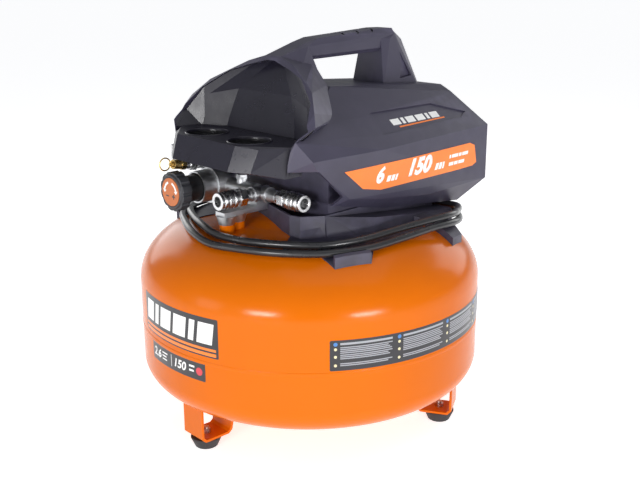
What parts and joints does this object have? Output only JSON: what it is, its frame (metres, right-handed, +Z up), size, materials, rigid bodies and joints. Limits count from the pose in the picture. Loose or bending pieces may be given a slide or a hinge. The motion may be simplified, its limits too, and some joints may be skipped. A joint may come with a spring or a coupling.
{
  "type": "portable air compressor",
  "caption": "Low round air tank on three legs with an electric piston pump under a faceted cover, carrying handle, two gauges, regulator, relief valve, two hose couplers and a wrapped cord.",
  "frame": {"origin": "centre of the tank axis on the floor plane under the three rubber feet", "axes": "+Z up along the tank axis, -Y towards the gauges and controls, +X to the right when facing the controls"},
  "size_m": [0.4093, 0.4094, 0.4618],
  "materials": {
    "tank_paint": "gloss orange powder coat",
    "housing": "fine-grained moulded plastic",
    "panel": "polished moulded plastic",
    "base_plastic": "moulded plastic",
    "rubber_foot": "moulded rubber",
    "steel_screw": "zinc plated",
    "brass": "machined, lightly tarnished",
    "alloy": "die cast, nickel finish",
    "plated": "plated steel",
    "dial": null,
    "needle": "red enamel",
    "lens": "clear",
    "gauge_body": "moulded",
    "knob": "moulded, scalloped",
    "knob_disc": "plain orange disc",
    "diaphragm": "moulded rubber",
    "cast": "as cast",
    "iron": "machined",
    "laminations": "varnished steel laminations",
    "fan_plastic": "moulded",
    "copper": "bent copper tube",
    "cord_jacket": "smooth flexible jacket"
  },
  "bodies": {
    "compressor": {"tank_top": "tank_paint", "tank_bottom": "tank_paint", "tank_weld": "tank_paint", "leg_front": "tank_paint", "leg_right": "tank_paint", "leg_left": "tank_paint", "foot_front": "rubber_foot", "foot_right": "rubber_foot", "foot_left": "rubber_foot", "foot_screws": "steel_screw", "drain_body": "brass", "air_posts": "tank_paint", "shroud": "housing", "control_panel": "panel", "shroud_base": "base_plastic", "gauge_case_left": "gauge_body", "gauge_case_right": "gauge_body", "gauge_dial_left": "dial", "gauge_dial_right": "dial", "gauge_lens_left": "lens", "gauge_lens_right": "lens", "manifold": "alloy", "tee": "alloy", "coupler_front": "plated", "coupler_side": "plated", "reg_bonnet": "gauge_body", "reg_spring": "steel_screw", "reg_diaphragm": "diaphragm", "relief_adaptor": "plated", "relief_body": "brass", "switch_box": "gauge_body", "pump_plate": "iron", "isolators": "rubber_foot", "crankcase": "cast", "cylinder_sleeve": "cast", "valve_plate": "steel_screw", "cylinder_head": "cast", "piston": "cast", "motor_stator": "laminations", "motor_mount_front": "cast", "motor_mount_rear": "cast", "intake_filter": "fan_plastic", "check_valve": "brass", "discharge_tube": "copper", "strain_relief": "rubber_foot", "power_cord": "cord_jacket", "cord_plug": "cord_jacket"},
    "drain": {"drain_handle": "brass"},
    "needle_left": {"gauge_needle_left": "needle"},
    "needle_right": {"gauge_needle_right": "needle"},
    "knob": {"reg_knob": "knob", "knob_cap": "knob_disc"},
    "front_sleeve": {"sleeve_front": "plated"},
    "side_sleeve": {"sleeve_side": "plated"},
    "relief": {"relief_pull": "brass"},
    "lever": {"switch_lever": "plated"},
    "rotor": {"motor_shaft": "steel_screw", "crank": "iron", "fan": "fan_plastic"},
    "rod": {"connecting_rod": "cast"}
  },
  "joints": [
    {"name": "drain_turn", "type": "hinge", "parent": "compressor", "child": "drain", "pos_m": [0, -0.036, 0.027], "axis": [0, -1, 0], "range_deg": [0, 90]},
    {"name": "needle_left_turn", "type": "hinge", "parent": "compressor", "child": "needle_left", "pos_m": [-0.0375, -0.1195, 0.344], "axis": [0, 0, -1], "range_deg": [0, 270], "stiffness_Nm_per_rad": 0.0004},
    {"name": "needle_right_turn", "type": "hinge", "parent": "compressor", "child": "needle_right", "pos_m": [0.0375, -0.1195, 0.344], "axis": [0, 0, -1], "range_deg": [0, 270], "stiffness_Nm_per_rad": 0.0004},
    {"name": "regulator_turn", "type": "hinge", "parent": "compressor", "child": "knob", "pos_m": [-0.068, -0.145, 0.288], "axis": [0, -1, 0], "range_deg": [-540, 540]},
    {"name": "front_sleeve_slide", "type": "slide", "parent": "compressor", "child": "front_sleeve", "axis": [0, 1, 0], "range_m": [0, 0.0034], "stiffness_N_per_m": 900, "springref_m": -0.002},
    {"name": "side_sleeve_slide", "type": "slide", "parent": "compressor", "child": "side_sleeve", "axis": [-1, 0, 0], "range_m": [0, 0.0034], "stiffness_N_per_m": 900, "springref_m": -0.002},
    {"name": "relief_slide", "type": "slide", "parent": "compressor", "child": "relief", "axis": [0, -0.9903, 0.1392], "range_m": [0, 0.003], "stiffness_N_per_m": 700, "springref_m": -0.002},
    {"name": "switch_turn", "type": "hinge", "parent": "compressor", "child": "lever", "pos_m": [-0.09, -0.117, 0.33], "axis": [1, 0, 0], "range_deg": [0, 25]},
    {"name": "motor_turn", "type": "hinge", "parent": "compressor", "child": "rotor", "pos_m": [0, 0.08, 0.318], "axis": [0, 1, 0], "continuous": true},
    {"name": "rod_turn", "type": "hinge", "parent": "rotor", "child": "rod", "pos_m": [0, 0.016, 0.327], "axis": [0, 1, 0], "continuous": true}
  ],
  "couplings": [
    {"joint": "rod_turn", "follows": "motor_turn", "ratio": -1}
  ]
}
